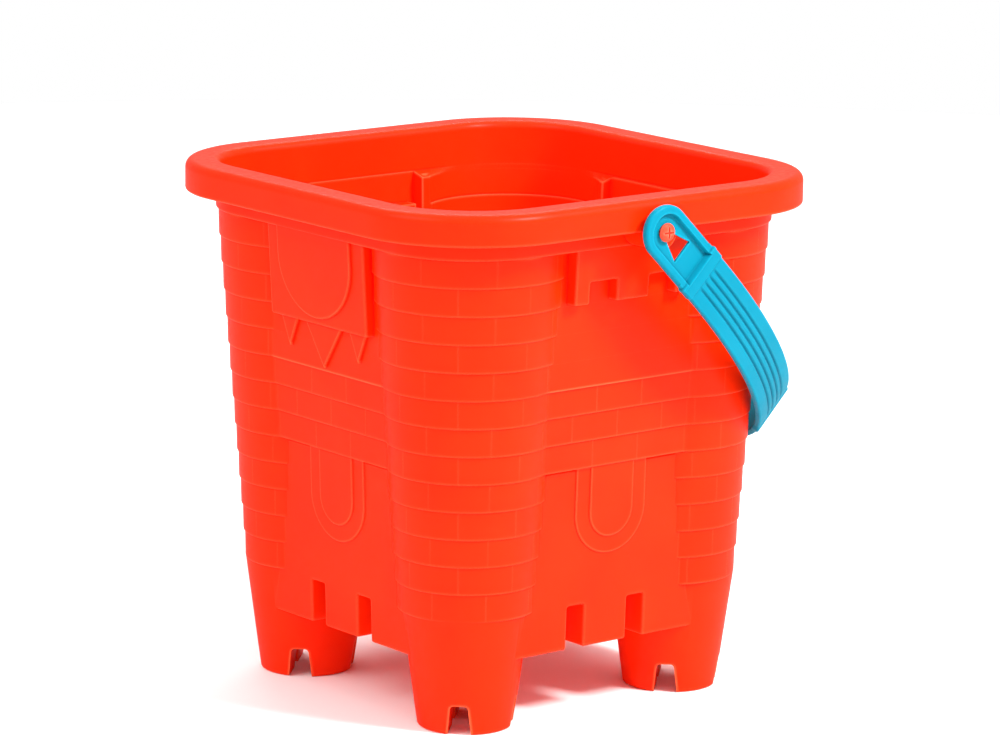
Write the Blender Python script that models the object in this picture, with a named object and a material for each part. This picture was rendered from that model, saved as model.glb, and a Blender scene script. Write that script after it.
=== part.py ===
"""Castle sand bucket: a square moulded bucket with four round corner towers and a strap handle.

Frame: metres, +Z up, origin at the centre of the footprint, z = 0 under the four tower feet.
The gate walls face -Y and +Y; the handle is pinned to the battlement walls, which face -X and +X.
"""
import math

import bmesh
import bpy
from mathutils import Matrix, Vector

MM = 0.001

# Brick courses of the towers
COURSES = 13
COURSE_HEIGHT = 11.4 * MM
COURSE_STEP = 0.92 * MM        # each course is this much smaller in radius than the one above
COURSE_DRIFT = 0.25 * MM       # taper within one course
TOWER_CENTRE = 52.5 * MM       # from the bucket's mid planes
TOWER_RADIUS = 39.2 * MM       # at the foot of the top course
ARC_STEPS = 12                 # straight segments round one tower

# Walls between the towers
UPPER_COURSES = 5              # courses 1 to 5 cross a plain recess
BAND_COURSES = 3               # courses 6 to 8 run right round as a band
WALL_PLANE_TOP = 85.6 * MM     # from the mid plane to the wall, under the collar
WALL_PLANE_MID = 84.3 * MM     # at the foot of the upper recess
BAND_STEP = 1.16 * MM
BAND_DRIFT = 0.3 * MM
WALL_LIP = 0.1 * MM            # the same on the plain walls
LOWER_PLANE_TOP = 78.7 * MM
LOWER_PLANE_BOTTOM = 76.2 * MM
SKIN = 2.0 * MM                # moulded wall thickness
BACKING = 1.0 * MM             # how far the lower courses' core lies behind the lower wall

# Feet under the towers, and the battlements under the walls
FOOT_HEIGHT = 48.0 * MM
FOOT_CENTRE = 54.0 * MM
FOOT_RADIUS_BOTTOM = 19.4 * MM
FOOT_RADIUS_TOP = 25.9 * MM
FOOT_SEGMENTS = 40
SLOT_HEIGHT = 12.4 * MM
SLOT_TOP_WIDTH = 7.8 * MM
SLOT_BOTTOM_WIDTH = 11.0 * MM
MERLON_BOTTOM = 29.6 * MM
MERLON_INNER = 61.0 * MM       # inner side of the battlement ring
MERLON_HALF = 11.2 * MM        # half the width of the middle merlon
NOTCH_OUTER = 20.0 * MM        # far side of each notch
NOTCH_TOP = 47.2 * MM
NOTCH_INNER = 53.0 * MM        # the cut starts behind the ring and runs out past it
NOTCH_DEPTH = 36.0 * MM
SLAB_HALF = 50.0 * MM          # the lower wall runs this far, into the towers
MERLON_SKIN = 2.2 * MM         # front wall of the hollow merlons

# Reliefs on the walls
GATE_HALF = 32.2 * MM
GATE_BOTTOM = 158.8 * MM
GATE_FACE_BOTTOM = 88.6 * MM   # the panel's face leans out with the towers
GATE_FACE_TOP = 90.9 * MM
GATE_TONGUE_HALF = 24.4 * MM
GATE_TONGUE_CENTRE = 186.0 * MM
GATE_TONGUE_RISE = 1.2 * MM
TOOTH_RISE = 1.5 * MM
SIDE_TOOTH_CENTRE = 23.0 * MM
SIDE_TOOTH_HALF = 6.5 * MM
SIDE_TOOTH_TIP = 146.4 * MM
MID_TOOTH_HALF = 13.5 * MM
MID_TOOTH_TIP = 140.8 * MM
CREST_HALF = 29.6 * MM         # battlement relief on the X walls
CREST_SIDE_INNER = 22.2 * MM
CREST_MID_HALF = 8.2 * MM
CREST_BOTTOM = 174.2 * MM
CREST_NOTCH_TOP = 183.2 * MM
CREST_FACE_BOTTOM = 90.5 * MM
CREST_FACE_TOP = 91.9 * MM
HOLLOW_RISE = 3.0 * MM         # the hollows behind both reliefs run up into the collar's room
WINDOW_CENTRE = 86.0 * MM      # lower wall: two arched steps, one on the other
WINDOW_OUTER_HALF = 18.2 * MM
WINDOW_INNER_HALF = 11.2 * MM
WINDOW_RISE = 0.65 * MM
ARCH_STEPS = 16

# Collar, skirt and lip
RIM_CENTRE = 54.0 * MM         # centre of the rim's round corners
RIM_SPREAD = math.radians(30)  # how far the outline's close steps run on past a rim corner
COLLAR_HALF = 92.4 * MM
SKIRT_HALF = 105.0 * MM
SKIRT_BOTTOM = 203.8 * MM
FLANGE_BOTTOM = 214.3 * MM
RIM_TOP = 216.5 * MM
LIP_RADIUS = 3.6 * MM
LIP_STEPS = 4
MOUTH_RADIUS = 3.0 * MM
MOUTH_STEPS = 3

# Handle and its pegs
HINGE_HEIGHT = 203.8 * MM
REST_ANGLE = math.radians(45)  # the handle rests this far below level, on the +Y towers
STRAP_WIDTH = 22.0 * MM
STRAP_THICKNESS = 3.0 * MM
STRAP_HALF_SPAN = 111.5 * MM   # to the strap's outer face
STRAP_REACH = 137.0 * MM       # to the grip's outer face
CORNER_SPAN = 65.0 * MM        # the corners are quarter ellipses, which clear the towers
CORNER_REACH = 108.0 * MM
CORNER_STEPS = 18
EYE_STEPS = 9
EYE_TIP_HALF = 1.2 * MM
BORDER = 3.8 * MM
RECESS_DEPTH = 1.2 * MM
RECESS_END = 24.6 * MM
RIDGE_LENGTH = 6.2 * MM
RIDGE_RISE = 0.5 * MM
HOLE_RADIUS = 3.2 * MM
KEY_ANGLE = math.radians(50)   # where the wedge meets the round seat
KEY_END = 14.1 * MM
KEY_HALF = 5.1 * MM
PEG_NECK_RADIUS = 2.5 * MM
PEG_HEAD_RADIUS = 3.8 * MM
PEG_HEAD_EDGE = 1.2 * MM       # straight part of the head's side
PEG_HEAD_THICKNESS = 2.0 * MM
PEG_HEAD_FLAT = 2.7 * MM       # radius of the head's flat top
PEG_DEPTH = 9.0 * MM           # length of the peg inside its boss
BOSS_RADIUS = 7.5 * MM
BOSS_ROOT = 91.4 * MM
FIT_GAP = 0.3 * MM
PEG_SEGMENTS = 24
OVERLAP = 1.0 * MM             # how far joined shapes sink into each other
QUARTERS = (math.pi / 2, math.pi, 3 * math.pi / 2)
HALF_TURN = (math.pi,)

RED = (1.0, 0.055, 0.016)
CORAL = (1.0, 0.11, 0.065)
CYAN = (0.003, 0.47, 0.66)


def clear_scene():
    for item in list(bpy.data.objects):
        bpy.data.objects.remove(item, do_unlink=True)


def plastic(name, colour, roughness):
    material = bpy.data.materials.new(name)
    material.use_nodes = True
    shader = material.node_tree.nodes["Principled BSDF"]
    shader.inputs["Base Color"].default_value = (*colour, 1.0)
    shader.inputs["Roughness"].default_value = roughness
    shader.inputs["Metallic"].default_value = 0.0
    material.diffuse_color = (*colour, 1.0)
    return material


def add_object(name, bm, material=None):
    mesh = bpy.data.meshes.new(name)
    bmesh.ops.recalc_face_normals(bm, faces=bm.faces)
    bm.to_mesh(mesh)
    bm.free()
    if material:
        mesh.materials.append(material)
        mesh.shade_smooth()
        mesh.set_sharp_from_angle(angle=math.radians(30))
    thing = bpy.data.objects.new(name, mesh)
    bpy.context.scene.collection.objects.link(thing)
    return thing


def cut_with(target, tool, operation):
    """Add a Boolean modifier whose tool is a hidden object."""
    tool.hide_render = True
    tool.display_type = "WIRE"
    modifier = target.modifiers.new(tool.name, "BOOLEAN")
    modifier.object = tool
    modifier.operation = operation
    modifier.solver = "MANIFOLD"   # the exact solver loses the shell at the gate panels


def boolean(target, tool_bm, operation):
    name = f"{target.name}_tool_{len(target.modifiers):02d}"
    cut_with(target, add_object(name, tool_bm), operation)


def between(low, high, share):
    return low + (high - low) * share


def copy_round(bm, turns):
    """Keep the mesh and add a copy of it at each further angle about Z."""
    first = bm.verts[:] + bm.edges[:] + bm.faces[:]
    for angle in turns:
        copy = bmesh.ops.duplicate(bm, geom=first)["geom"]
        verts = [item for item in copy if isinstance(item, bmesh.types.BMVert)]
        bmesh.ops.rotate(bm, verts=verts, cent=(0, 0, 0), matrix=Matrix.Rotation(angle, 3, "Z"))
    return bm


def prism(points, low, high):
    """A solid on a flat outline of (s, z) points, from y = low to y = high."""
    bm = bmesh.new()
    face = bm.faces.new([bm.verts.new((s, low, z)) for s, z in points])
    sides = bmesh.ops.extrude_face_region(bm, geom=[face])["geom"]
    moved = [item for item in sides if isinstance(item, bmesh.types.BMVert)]
    bmesh.ops.translate(bm, verts=moved, vec=(0, high - low, 0))
    return bm


def relief(points, root, face_line):
    """A prism whose far side lies on a leaning plane: face_line gives y at height z."""
    bm = prism(points, root, face_line(points[0][1]))
    for vert in bm.verts:
        if vert.co.y > root + OVERLAP / 2:
            vert.co.y = face_line(vert.co.z)
    return bm


def outline(centre, radius, plane):
    """Points round four round towers joined by flat walls, counter-clockwise.

    With the wall plane flush with the corners it is a rounded square, and the points beyond each
    corner's quarter lie on its straight sides.
    """
    flush = plane >= centre + radius
    spread = RIM_SPREAD if flush else math.acos((plane - centre) / radius)
    points = []
    for quarter in range(4):
        turn = Matrix.Rotation(quarter * math.pi / 2, 3, "Z")
        for step in range(ARC_STEPS + 1):
            angle = between(-spread, math.pi / 2 + spread, step / ARC_STEPS)
            x = centre + radius * math.cos(max(angle, 0) if flush else angle)
            y = centre + radius * math.sin(min(angle, math.pi / 2) if flush else angle)
            points.append(turn @ Vector((x, y, 0)))
    return points


def loft(rings):
    """A closed solid through rings of (height, corner centre, corner radius, wall plane)."""
    bm = bmesh.new()
    ring = [bm.verts.new((p.x, p.y, rings[0][0])) for p in outline(*rings[0][1:])]
    edges = bm.faces.new(ring).edges[:]
    for height, centre, radius, plane in rings[1:]:
        grown = bmesh.ops.extrude_edge_only(bm, edges=edges)["geom"]
        fresh = {item for item in grown if isinstance(item, bmesh.types.BMVert)}
        ring = [next(e.other_vert(v) for e in v.link_edges if e.other_vert(v) in fresh) for v in ring]
        for vert, point in zip(ring, outline(centre, radius, plane)):
            vert.co = (point.x, point.y, height)
        edges = [bm.edges.get(pair) for pair in zip(ring, ring[1:] + ring[:1])]
    bmesh.ops.contextual_create(bm, geom=edges)
    bmesh.ops.triangulate(bm, faces=bm.faces)
    return bm


def rim_ring(height, half):
    """A rounded square: its wall plane lies just outside its corners, so it has no towers."""
    return (height, RIM_CENTRE, half - RIM_CENTRE, half + FIT_GAP)


def course_bottom(course):
    return FOOT_HEIGHT + (COURSES - course) * COURSE_HEIGHT


def tower_radius(course):
    return TOWER_RADIUS - (course - 1) * COURSE_STEP


def lower_plane(z):
    share = (z - MERLON_BOTTOM) / (course_bottom(UPPER_COURSES + BAND_COURSES) - MERLON_BOTTOM)
    return between(LOWER_PLANE_BOTTOM, LOWER_PLANE_TOP, share)


def upper_plane(z):
    share = (z - course_bottom(UPPER_COURSES)) / (UPPER_COURSES * COURSE_HEIGHT)
    return between(WALL_PLANE_MID, WALL_PLANE_TOP, share)


def wall_plane(course, z):
    """Distance from the mid plane to the wall, at height z in this course."""
    climb = (z - course_bottom(course)) / COURSE_HEIGHT
    if course <= UPPER_COURSES:
        return upper_plane(z) + WALL_LIP * climb
    if course <= UPPER_COURSES + BAND_COURSES:
        return WALL_PLANE_MID - BAND_STEP * (course - UPPER_COURSES) + BAND_DRIFT * climb
    return lower_plane(z) - BACKING + WALL_LIP * climb


def outer_body():
    """Towers and walls from the feet up, then collar, skirt and lip, as one solid."""
    rings = []
    for course in range(COURSES, 0, -1):
        bottom = course_bottom(course)
        for z, drift in ((bottom, 0), (bottom + COURSE_HEIGHT, COURSE_DRIFT)):
            rings.append((z, TOWER_CENTRE, tower_radius(course) + drift, wall_plane(course, z)))
    rings.append(rim_ring(rings[-1][0], COLLAR_HALF))
    rings.append(rim_ring(FLANGE_BOTTOM, COLLAR_HALF))
    rings.append(rim_ring(FLANGE_BOTTOM, SKIRT_HALF - SKIN))
    rings.append(rim_ring(SKIRT_BOTTOM, SKIRT_HALF - SKIN))
    rings.append(rim_ring(SKIRT_BOTTOM, SKIRT_HALF))
    for step in range(LIP_STEPS + 1):
        angle = math.pi / 2 * step / LIP_STEPS
        out = LIP_RADIUS * (1 - math.cos(angle))
        up = LIP_RADIUS * math.sin(angle)
        rings.append(rim_ring(RIM_TOP - LIP_RADIUS + up, SKIRT_HALF - out))
    return loft(rings)


def inner_body():
    """The bucket's main hollow, one skin inside the walls, open at the mouth."""
    floor = FOOT_HEIGHT + SKIN
    ledge = course_bottom(0)
    low = course_bottom(UPPER_COURSES + BAND_COURSES)
    mid = course_bottom(UPPER_COURSES)
    bottom_radius = tower_radius(COURSES) - SKIN
    low_radius = tower_radius(UPPER_COURSES + BAND_COURSES) - SKIN
    mid_radius = tower_radius(UPPER_COURSES) - SKIN
    rings = [
        (floor, TOWER_CENTRE, bottom_radius, lower_plane(floor) - SKIN),
        (low, TOWER_CENTRE, low_radius, lower_plane(low) - SKIN),
        (mid, TOWER_CENTRE, mid_radius, upper_plane(mid) - SKIN),
        (ledge, TOWER_CENTRE, TOWER_RADIUS - SKIN, upper_plane(ledge) - SKIN),
        rim_ring(ledge + SKIN, COLLAR_HALF - SKIN),
        rim_ring(RIM_TOP - MOUTH_RADIUS, COLLAR_HALF - SKIN),
    ]
    for step in range(1, MOUTH_STEPS + 1):
        angle = math.pi / 2 * step / MOUTH_STEPS
        half = COLLAR_HALF - SKIN + MOUTH_RADIUS * (1 - math.cos(angle))
        rings.append(rim_ring(RIM_TOP - MOUTH_RADIUS * (1 - math.sin(angle)), half))
    rings.append(rim_ring(RIM_TOP + OVERLAP, COLLAR_HALF - SKIN + MOUTH_RADIUS))
    return loft(rings)


def lower_wall(skin=0.0):
    """The wall below the band down to the merlons; with a skin, the room inside each merlon."""
    if not skin:
        front = 0.0
        top = course_bottom(UPPER_COURSES + BAND_COURSES) - FIT_GAP
        spans = [(-SLAB_HALF, SLAB_HALF)]
    else:
        front = MERLON_SKIN
        top = FOOT_HEIGHT + SKIN + OVERLAP
        spans = [(-SLAB_HALF, -NOTCH_OUTER - skin), (skin - MERLON_HALF, MERLON_HALF - skin),
                 (NOTCH_OUTER + skin, SLAB_HALF)]
    bottom = MERLON_BOTTOM + skin
    bm = bmesh.new()
    for left, right in spans:
        points = [(left, bottom), (right, bottom), (right, top), (left, top)]
        block = relief(points, MERLON_INNER + skin, lambda z: lower_plane(z) - front)
        mesh = bpy.data.meshes.new("block")
        block.to_mesh(mesh)
        block.free()
        bm.from_mesh(mesh)
        bpy.data.meshes.remove(mesh)
    return copy_round(bm, QUARTERS)


def notches():
    bm = bmesh.new()
    for side in (-1, 1):
        bmesh.ops.create_cube(bm, size=1.0, matrix=Matrix.LocRotScale(
            Vector((side * (MERLON_HALF + NOTCH_OUTER) / 2, NOTCH_INNER + NOTCH_DEPTH / 2, NOTCH_TOP / 2)),
            None, Vector((NOTCH_OUTER - MERLON_HALF, NOTCH_DEPTH, NOTCH_TOP))))
    return copy_round(bm, QUARTERS)


def feet(skin=0.0):
    """The four tapered feet, or with a skin the round rooms inside them."""
    low, high = skin, FOOT_HEIGHT + skin + OVERLAP
    slope = (FOOT_RADIUS_TOP - FOOT_RADIUS_BOTTOM) / FOOT_HEIGHT
    bm = bmesh.new()
    bmesh.ops.create_cone(
        bm, cap_ends=True, segments=FOOT_SEGMENTS,
        radius1=FOOT_RADIUS_BOTTOM + slope * low - skin, radius2=FOOT_RADIUS_BOTTOM + slope * high - skin,
        depth=high - low, matrix=Matrix.Translation((FOOT_CENTRE, FOOT_CENTRE, (low + high) / 2)))
    return copy_round(bm, QUARTERS)


def slots(direction, skin=0.0):
    """One straight channel under each foot, at 45 or 135 degrees on the first foot."""
    low, high = -OVERLAP, SLOT_HEIGHT + skin
    half_low, half_high = SLOT_BOTTOM_WIDTH / 2 + skin, SLOT_TOP_WIDTH / 2 + skin
    reach = FOOT_RADIUS_TOP + OVERLAP
    points = [(-half_low, low), (half_low, low), (half_high, high), (-half_high, high)]
    bm = prism(points, -reach, reach)
    turn = Matrix.Rotation(math.radians(direction), 3, "Z")
    bmesh.ops.rotate(bm, verts=bm.verts, cent=(0, 0, 0), matrix=turn)
    bmesh.ops.translate(bm, verts=bm.verts, vec=(FOOT_CENTRE, FOOT_CENTRE, 0))
    return copy_round(bm, QUARTERS)


def arch_points(half, centre, top):
    """A tongue with straight sides from top down to centre, and a round end below."""
    points = [(-half, top)]
    for step in range(ARCH_STEPS + 1):
        angle = math.pi * (1 + step / ARCH_STEPS)
        points.append((half * math.cos(angle), centre + half * math.sin(angle)))
    points.append((half, top))
    return points


def tooth_points(centre, half, tip):
    top = GATE_BOTTOM + OVERLAP
    return [(centre - half, top), (centre, tip), (centre + half, top)]


def gate_face(z):
    return between(GATE_FACE_BOTTOM, GATE_FACE_TOP, (z - GATE_BOTTOM) / (course_bottom(0) - GATE_BOTTOM))


def crest_face(z):
    return between(CREST_FACE_BOTTOM, CREST_FACE_TOP, (z - CREST_BOTTOM) / (course_bottom(0) - CREST_BOTTOM))


def gate_panel(skin=0.0):
    root = WALL_PLANE_MID - OVERLAP - 2 * skin
    top = course_bottom(0) + (HOLLOW_RISE if skin else OVERLAP)
    half, bottom = GATE_HALF - skin, GATE_BOTTOM + skin
    points = [(-half, top), (-half, bottom), (half, bottom), (half, top)]
    return relief(points, root, lambda z: gate_face(z) - skin)


def crest_panel(skin=0.0):
    root = WALL_PLANE_MID - OVERLAP - 2 * skin
    top = course_bottom(0) + (HOLLOW_RISE if skin else OVERLAP)
    bottom, notch = CREST_BOTTOM + skin, CREST_NOTCH_TOP + skin
    right = [(CREST_MID_HALF - skin, bottom), (CREST_MID_HALF - skin, notch),
             (CREST_SIDE_INNER + skin, notch), (CREST_SIDE_INNER + skin, bottom),
             (CREST_HALF - skin, bottom), (CREST_HALF - skin, top)]
    left = [(-s, z) for s, z in reversed(right)]
    bm = relief(left + right, root, lambda z: crest_face(z) - skin)
    bmesh.ops.rotate(bm, verts=bm.verts, cent=(0, 0, 0), matrix=Matrix.Rotation(math.pi / 2, 3, "Z"))
    return bm


def gate_tongue():
    top = course_bottom(0) + OVERLAP
    points = arch_points(GATE_TONGUE_HALF, GATE_TONGUE_CENTRE, top)
    return relief(points, WALL_PLANE_MID, lambda z: gate_face(z) + GATE_TONGUE_RISE)


def tooth(centre, half, tip):
    return relief(tooth_points(centre, half, tip), WALL_PLANE_MID - OVERLAP,
                  lambda z: upper_plane(z) + TOOTH_RISE)


def window(half, rise):
    top = course_bottom(UPPER_COURSES + BAND_COURSES) + FIT_GAP
    points = arch_points(half, WINDOW_CENTRE, top)
    return relief(points, LOWER_PLANE_BOTTOM - OVERLAP, lambda z: lower_plane(z) + rise)


def boss():
    """The round block on each X wall that holds a peg."""
    length = STRAP_HALF_SPAN - STRAP_THICKNESS - FIT_GAP - BOSS_ROOT
    bm = bmesh.new()
    turn = Matrix.Rotation(math.pi / 2, 4, "Y")
    place = Matrix.Translation((BOSS_ROOT + length / 2, 0, HINGE_HEIGHT))
    bmesh.ops.create_cone(bm, cap_ends=True, segments=PEG_SEGMENTS, radius1=BOSS_RADIUS,
                          radius2=BOSS_RADIUS, depth=length, matrix=place @ turn)
    return copy_round(bm, HALF_TURN)


def peg_bore():
    face = STRAP_HALF_SPAN - STRAP_THICKNESS - FIT_GAP
    low, high = face - PEG_DEPTH, face + OVERLAP
    bm = bmesh.new()
    turn = Matrix.Rotation(math.pi / 2, 4, "Y")
    place = Matrix.Translation(((low + high) / 2, 0, HINGE_HEIGHT))
    radius = PEG_NECK_RADIUS + FIT_GAP
    bmesh.ops.create_cone(bm, cap_ends=True, segments=PEG_SEGMENTS, radius1=radius,
                          radius2=radius, depth=high - low, matrix=place @ turn)
    return copy_round(bm, HALF_TURN)


def bucket_shell(material):
    shell = add_object("bucket_shell", outer_body(), material)
    boolean(shell, lower_wall(), "UNION")
    boolean(shell, feet(), "UNION")
    boolean(shell, copy_round(gate_panel(), HALF_TURN), "UNION")
    boolean(shell, copy_round(gate_tongue(), HALF_TURN), "UNION")
    boolean(shell, copy_round(crest_panel(), HALF_TURN), "UNION")
    boolean(shell, copy_round(tooth(0, MID_TOOTH_HALF, MID_TOOTH_TIP), HALF_TURN), "UNION")
    for side in (-1, 1):
        side_tooth = tooth(side * SIDE_TOOTH_CENTRE, SIDE_TOOTH_HALF, SIDE_TOOTH_TIP)
        boolean(shell, copy_round(side_tooth, HALF_TURN), "UNION")
    boolean(shell, copy_round(window(WINDOW_OUTER_HALF, WINDOW_RISE), QUARTERS), "UNION")
    boolean(shell, copy_round(window(WINDOW_INNER_HALF, 2 * WINDOW_RISE), QUARTERS), "UNION")
    boolean(shell, boss(), "UNION")
    boolean(shell, notches(), "DIFFERENCE")
    for direction in (45, 135):
        boolean(shell, slots(direction), "DIFFERENCE")
    boolean(shell, inner_body(), "DIFFERENCE")
    boolean(shell, lower_wall(SKIN), "DIFFERENCE")
    boolean(shell, copy_round(gate_panel(SKIN), HALF_TURN), "DIFFERENCE")
    boolean(shell, copy_round(crest_panel(SKIN), HALF_TURN), "DIFFERENCE")
    rooms = add_object("foot_rooms", feet(SKIN))
    for direction in (45, 135):
        boolean(rooms, slots(direction, SKIN), "DIFFERENCE")
    cut_with(shell, rooms, "DIFFERENCE")
    boolean(shell, peg_bore(), "DIFFERENCE")
    return shell


def strap_stations():
    """Outer line of half the strap: (x, reach, turn, half width), from the eye to the grip."""
    half_width = STRAP_WIDTH / 2
    stations = []
    for step in range(EYE_STEPS):
        angle = math.pi / 2 * step / EYE_STEPS
        width = max(EYE_TIP_HALF, half_width * math.sin(angle))
        stations.append((STRAP_HALF_SPAN, -half_width * math.cos(angle), 0.0, width))
    stations.append((STRAP_HALF_SPAN, 0.0, 0.0, half_width))
    for step in range(CORNER_STEPS + 1):
        angle = math.pi / 2 * step / CORNER_STEPS
        x = STRAP_HALF_SPAN - CORNER_SPAN * (1 - math.cos(angle))
        reach = STRAP_REACH - CORNER_REACH * (1 - math.sin(angle))
        turn = math.atan2(CORNER_SPAN * math.sin(angle), CORNER_REACH * math.cos(angle))
        stations.append((x, reach, turn, half_width))
    return stations


def strap_body():
    """The strap as a flat band: outer face, then one thickness inwards."""
    half = strap_stations()
    path = half + [(-x, reach, math.pi - turn, w) for x, reach, turn, w in reversed(half)]
    bm = bmesh.new()
    loops = []
    for x, reach, turn, w in path:
        out = Vector((math.cos(turn), math.sin(turn), 0))
        face = Vector((x, reach, 0))
        back = face - out * STRAP_THICKNESS
        corners = [(face, -w), (face, w), (back, w), (back, -w)]
        verts = [bm.verts.new((p.x, p.y, z)) for p, z in corners]
        loops.append([bm.edges.new(pair) for pair in zip(verts, verts[1:] + verts[:1])])
    for first, second in zip(loops, loops[1:]):
        bmesh.ops.bridge_loops(bm, edges=first + second)
    for loop in (loops[0], loops[-1]):
        bmesh.ops.contextual_create(bm, geom=loop)
    return bm


def mirrored_x(bm):
    """Keep the mesh and add its mirror image in X."""
    copy = bmesh.ops.duplicate(bm, geom=bm.verts[:] + bm.edges[:] + bm.faces[:])["geom"]
    verts = [item for item in copy if isinstance(item, bmesh.types.BMVert)]
    bmesh.ops.scale(bm, verts=verts, vec=(-1, 1, 1))
    return bm


def across(points, low, high):
    """A solid on an outline of (reach, width) points, from x = low to x = high."""
    bm = prism([(reach, width) for reach, width in points], low, high)
    for vert in bm.verts:
        vert.co = Vector((vert.co.y, vert.co.x, vert.co.z))
    return bm


def eye_recess():
    """The sunk panel of the eye: round about the hinge, straight to the ridge."""
    radius = STRAP_WIDTH / 2 - BORDER
    points = [(RECESS_END, -radius)]
    for step in range(ARCH_STEPS + 1):
        angle = -math.pi / 2 - math.pi * step / ARCH_STEPS
        points.append((radius * math.cos(angle), radius * math.sin(angle)))
    points.append((RECESS_END, radius))
    return mirrored_x(across(points, STRAP_HALF_SPAN - RECESS_DEPTH, STRAP_HALF_SPAN + OVERLAP))


def key_hole():
    """Round seat for the peg with a wedge-shaped way in below it."""
    points = []
    for step in range(ARCH_STEPS + 1):
        angle = between(KEY_ANGLE, 2 * math.pi - KEY_ANGLE, step / ARCH_STEPS)
        points.append((HOLE_RADIUS * math.cos(angle), HOLE_RADIUS * math.sin(angle)))
    points += [(KEY_END, -KEY_HALF), (KEY_END, KEY_HALF)]
    return mirrored_x(across(points, STRAP_HALF_SPAN - STRAP_THICKNESS - OVERLAP, STRAP_HALF_SPAN + OVERLAP))


def ridges():
    """The raised band across the strap beyond the eye."""
    half = STRAP_WIDTH / 2 + RIDGE_RISE
    low, high = RECESS_END, RECESS_END + RIDGE_LENGTH
    points = [(low, -half), (low, half), (high, half), (high, -half)]
    return mirrored_x(across(points, STRAP_HALF_SPAN - STRAP_THICKNESS / 2, STRAP_HALF_SPAN + RIDGE_RISE))


def handle(material):
    strap = add_object("handle", strap_body(), material)
    boolean(strap, ridges(), "UNION")
    boolean(strap, eye_recess(), "DIFFERENCE")
    boolean(strap, key_hole(), "DIFFERENCE")
    strap.location = (0, 0, HINGE_HEIGHT)
    strap.rotation_euler = (-REST_ANGLE, 0, 0)
    for modifier in strap.modifiers:
        modifier.object.location = strap.location
        modifier.object.rotation_euler = strap.rotation_euler
    return strap


def peg(name, side, material):
    """A push-in peg: a neck through the handle's eye and a domed head outside it."""
    seat = STRAP_HALF_SPAN - RECESS_DEPTH + FIT_GAP
    root = STRAP_HALF_SPAN - STRAP_THICKNESS - PEG_DEPTH
    head_edge = seat + PEG_HEAD_EDGE
    profile = [(root, 0), (root, PEG_NECK_RADIUS), (seat, PEG_NECK_RADIUS), (seat, PEG_HEAD_RADIUS),
               (head_edge, PEG_HEAD_RADIUS), (seat + PEG_HEAD_THICKNESS, PEG_HEAD_FLAT),
               (seat + PEG_HEAD_THICKNESS, 0)]
    bm = bmesh.new()
    verts = [bm.verts.new((x, radius, 0)) for x, radius in profile]
    edges = [bm.edges.new(pair) for pair in zip(verts, verts[1:])]
    bmesh.ops.spin(bm, geom=verts + edges, cent=(0, 0, 0), axis=(1, 0, 0), angle=2 * math.pi,
                   steps=PEG_SEGMENTS, use_merge=True)
    bmesh.ops.remove_doubles(bm, verts=bm.verts, dist=0.01 * MM)
    item = add_object(name, bm, material)
    item.location = (0, 0, HINGE_HEIGHT)
    item.rotation_euler = (0, 0, 0 if side > 0 else math.pi)
    return item


def main():
    clear_scene()
    red = plastic("red_polypropylene", RED, 0.32)
    bucket_shell(red)
    handle(plastic("cyan_polypropylene", CYAN, 0.35))
    coral = plastic("coral_polypropylene", CORAL, 0.35)
    peg("peg_right", 1, coral)
    peg("peg_left", -1, coral)


main()
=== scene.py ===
import math

import bmesh
import bpy
from mathutils import Matrix, Vector


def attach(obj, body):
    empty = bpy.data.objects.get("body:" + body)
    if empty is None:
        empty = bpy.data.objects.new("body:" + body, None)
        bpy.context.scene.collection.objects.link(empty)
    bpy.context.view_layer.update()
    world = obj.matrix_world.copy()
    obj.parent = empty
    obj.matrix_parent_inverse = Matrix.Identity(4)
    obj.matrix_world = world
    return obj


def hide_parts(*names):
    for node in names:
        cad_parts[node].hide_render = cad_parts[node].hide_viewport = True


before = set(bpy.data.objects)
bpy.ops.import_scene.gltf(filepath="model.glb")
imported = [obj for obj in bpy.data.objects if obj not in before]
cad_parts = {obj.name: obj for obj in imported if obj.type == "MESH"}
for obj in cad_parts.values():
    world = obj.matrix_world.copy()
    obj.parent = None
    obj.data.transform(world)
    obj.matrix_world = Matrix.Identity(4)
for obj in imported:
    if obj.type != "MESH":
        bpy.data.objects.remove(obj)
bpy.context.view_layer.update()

print("frame loaded:", ", ".join(sorted(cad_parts)))

mm = 0.001
quarterTurns = (math.pi / 2, math.pi, 3 * math.pi / 2)
halfTurn = (math.pi,)
sink = 1.0 * mm  # how far joined shapes reach into each other
tiny = 0.1 * mm  # near enough to count as the same place


# Small modelling helpers

def mix(low, high, share):
    return low + (high - low) * share


def vertsIn(geometry):
    return [item for item in geometry if isinstance(item, bmesh.types.BMVert)]


def makePiece(name, bm):
    bmesh.ops.recalc_face_normals(bm, faces=bm.faces)
    mesh = bpy.data.meshes.new(name)
    bm.to_mesh(mesh)
    bm.free()
    piece = bpy.data.objects.new(name, mesh)
    bpy.context.scene.collection.objects.link(piece)
    return piece


def carve(piece, operation, *tools):
    # joins or cuts closed shapes one after the other, and leaves a plain mesh
    helpers = []
    for tool in tools:
        helper = makePiece("carvingTool", tool)
        change = piece.modifiers.new("carve", "BOOLEAN")
        change.object = helper
        change.operation = operation
        change.solver = "MANIFOLD"
        helpers.append(helper)
    finished = bpy.data.meshes.new_from_object(piece.evaluated_get(bpy.context.evaluated_depsgraph_get()))
    piece.modifiers.clear()
    piece.data = finished
    for helper in helpers:
        bpy.data.objects.remove(helper, do_unlink=True)
    return piece


def smoothOver(piece, degrees):
    # rounded where faces meet gently, crisp at the real corners
    piece.data.shade_smooth()
    piece.data.set_sharp_from_angle(angle=math.radians(degrees))
    weighted = piece.modifiers.new("weightedNormals", "WEIGHTED_NORMAL")
    weighted.keep_sharp = True
    weighted.weight = 80


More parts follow.
